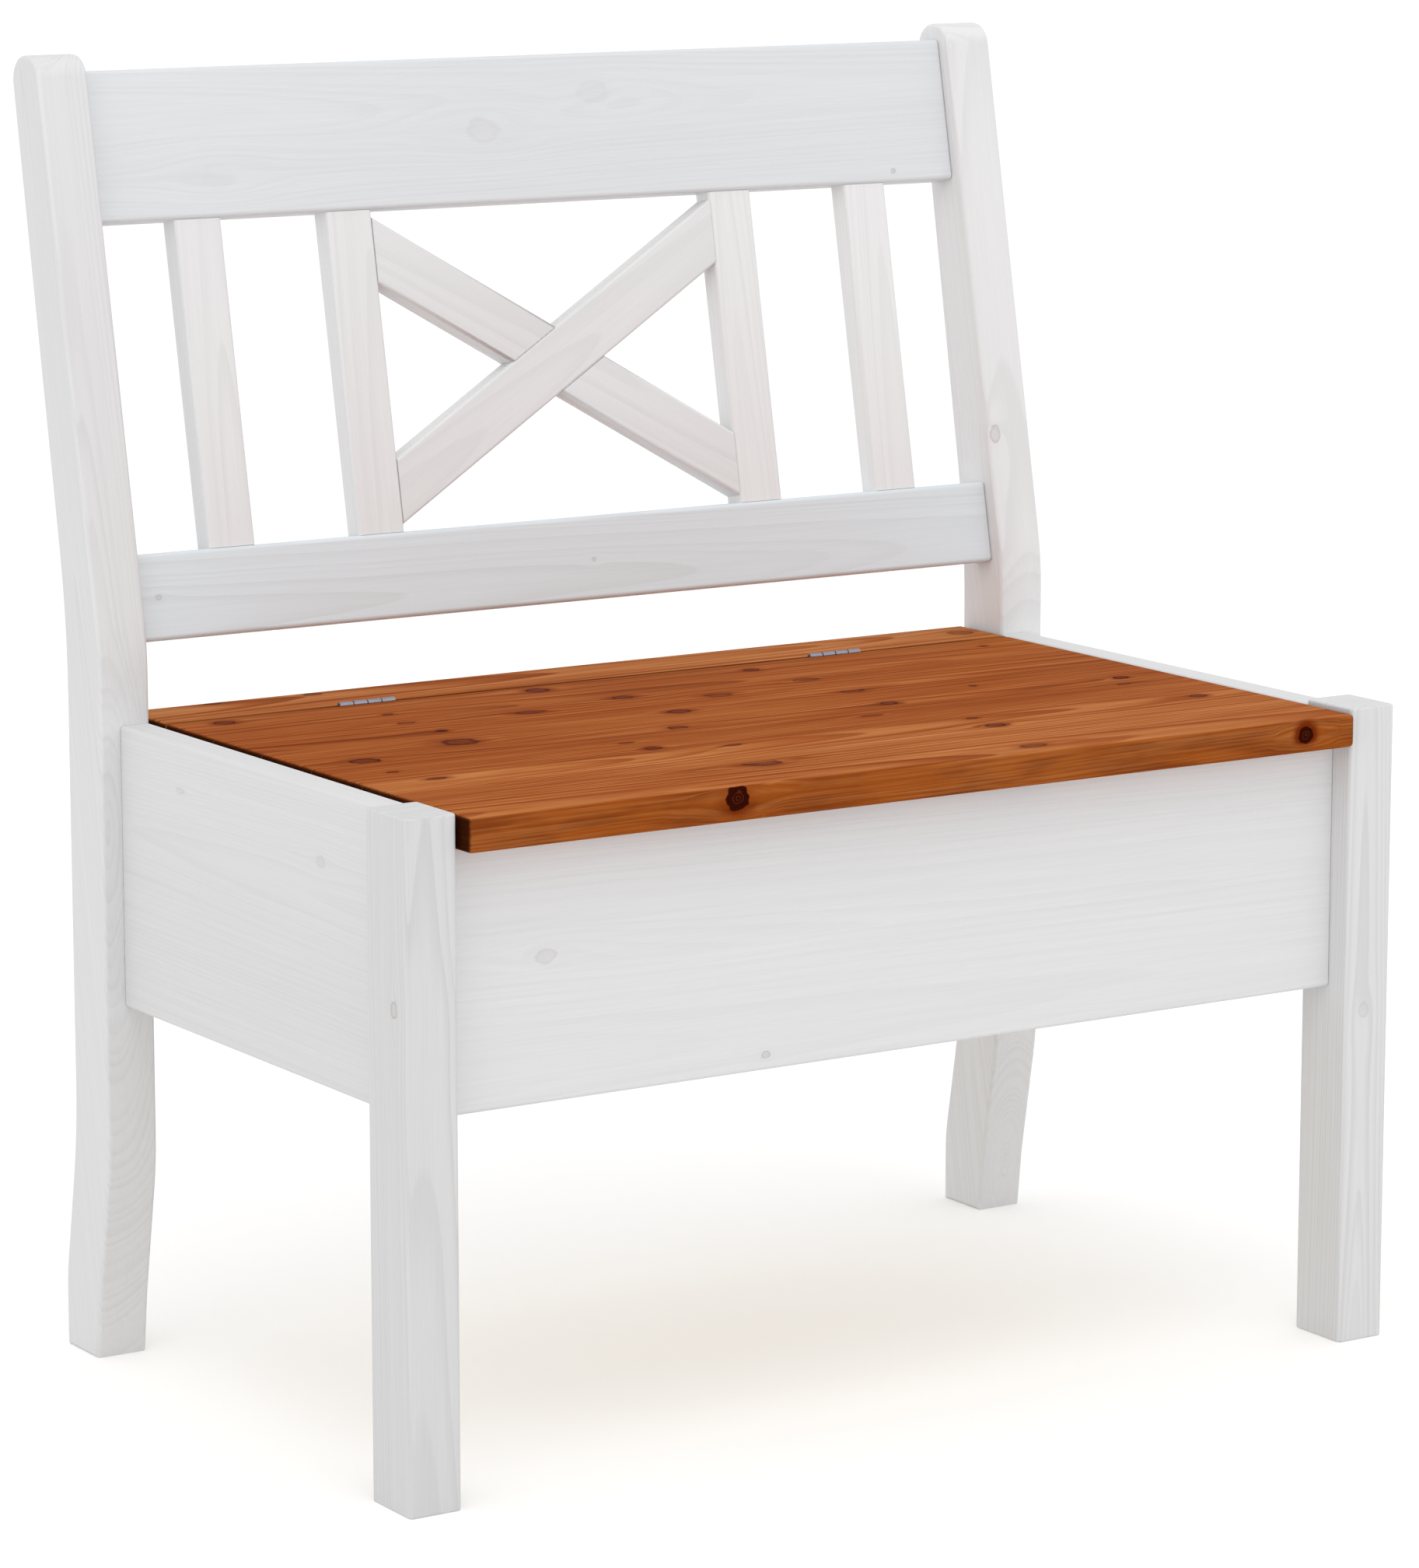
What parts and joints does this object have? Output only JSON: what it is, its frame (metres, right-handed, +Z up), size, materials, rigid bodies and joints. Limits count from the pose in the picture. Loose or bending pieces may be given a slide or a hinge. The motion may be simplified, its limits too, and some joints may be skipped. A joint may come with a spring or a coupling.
{
  "type": "storage bench",
  "caption": "Wooden storage bench with a hinged seat lid over a box, splayed and raked rear posts, and a back rest of rails, slats and a half-lapped cross.",
  "frame": {"origin": "on the floor, under the middle of the bench's overall box", "axes": "+Z up, +Y from the front of the seat towards the back rest, +X to the right of a viewer who faces the front"},
  "size_m": [0.83, 0.5651, 0.944],
  "materials": {
    "white_glazed_pine": "white glaze, satin, grain shows through",
    "stained_pine": "honey brown stain under satin lacquer",
    "birch_plywood": "sanded, matt",
    "zinc_steel": "bright zinc plate"
  },
  "bodies": {
    "frame": {"front_leg_left": "white_glazed_pine", "front_leg_right": "white_glazed_pine", "rear_post_left": "white_glazed_pine", "rear_post_right": "white_glazed_pine", "side_panel_left": "white_glazed_pine", "side_panel_right": "white_glazed_pine", "front_panel": "white_glazed_pine", "rear_panel": "white_glazed_pine", "top_rail": "white_glazed_pine", "lower_back_rail": "white_glazed_pine", "outer_slat_left": "white_glazed_pine", "outer_slat_right": "white_glazed_pine", "inner_slat_left": "white_glazed_pine", "inner_slat_right": "white_glazed_pine", "cross_brace_rising": "white_glazed_pine", "cross_brace_falling": "white_glazed_pine", "floor_cleat_front": "white_glazed_pine", "floor_cleat_rear": "white_glazed_pine", "floor_cleat_left": "white_glazed_pine", "floor_cleat_right": "white_glazed_pine", "hinge_board": "stained_pine", "floor_panel": "birch_plywood", "hinge_fixed_leaf_left": "zinc_steel", "hinge_fixed_leaf_right": "zinc_steel", "hinge_pin_left": "zinc_steel", "hinge_pin_right": "zinc_steel", "hinge_fixed_screws": "zinc_steel", "floor_cleat_screws": "zinc_steel"},
    "lid": {"lid": "stained_pine", "lid_batten_left": "stained_pine", "lid_batten_right": "stained_pine", "hinge_moving_leaf_left": "zinc_steel", "hinge_moving_leaf_right": "zinc_steel", "hinge_moving_screws": "zinc_steel", "lid_batten_screws": "zinc_steel"}
  },
  "joints": [
    {"name": "lid_hinge", "type": "hinge", "parent": "frame", "child": "lid", "pos_m": [0, 0.14619, 0.4733], "axis": [-1, 0, 0], "range_deg": [0, 103]}
  ]
}
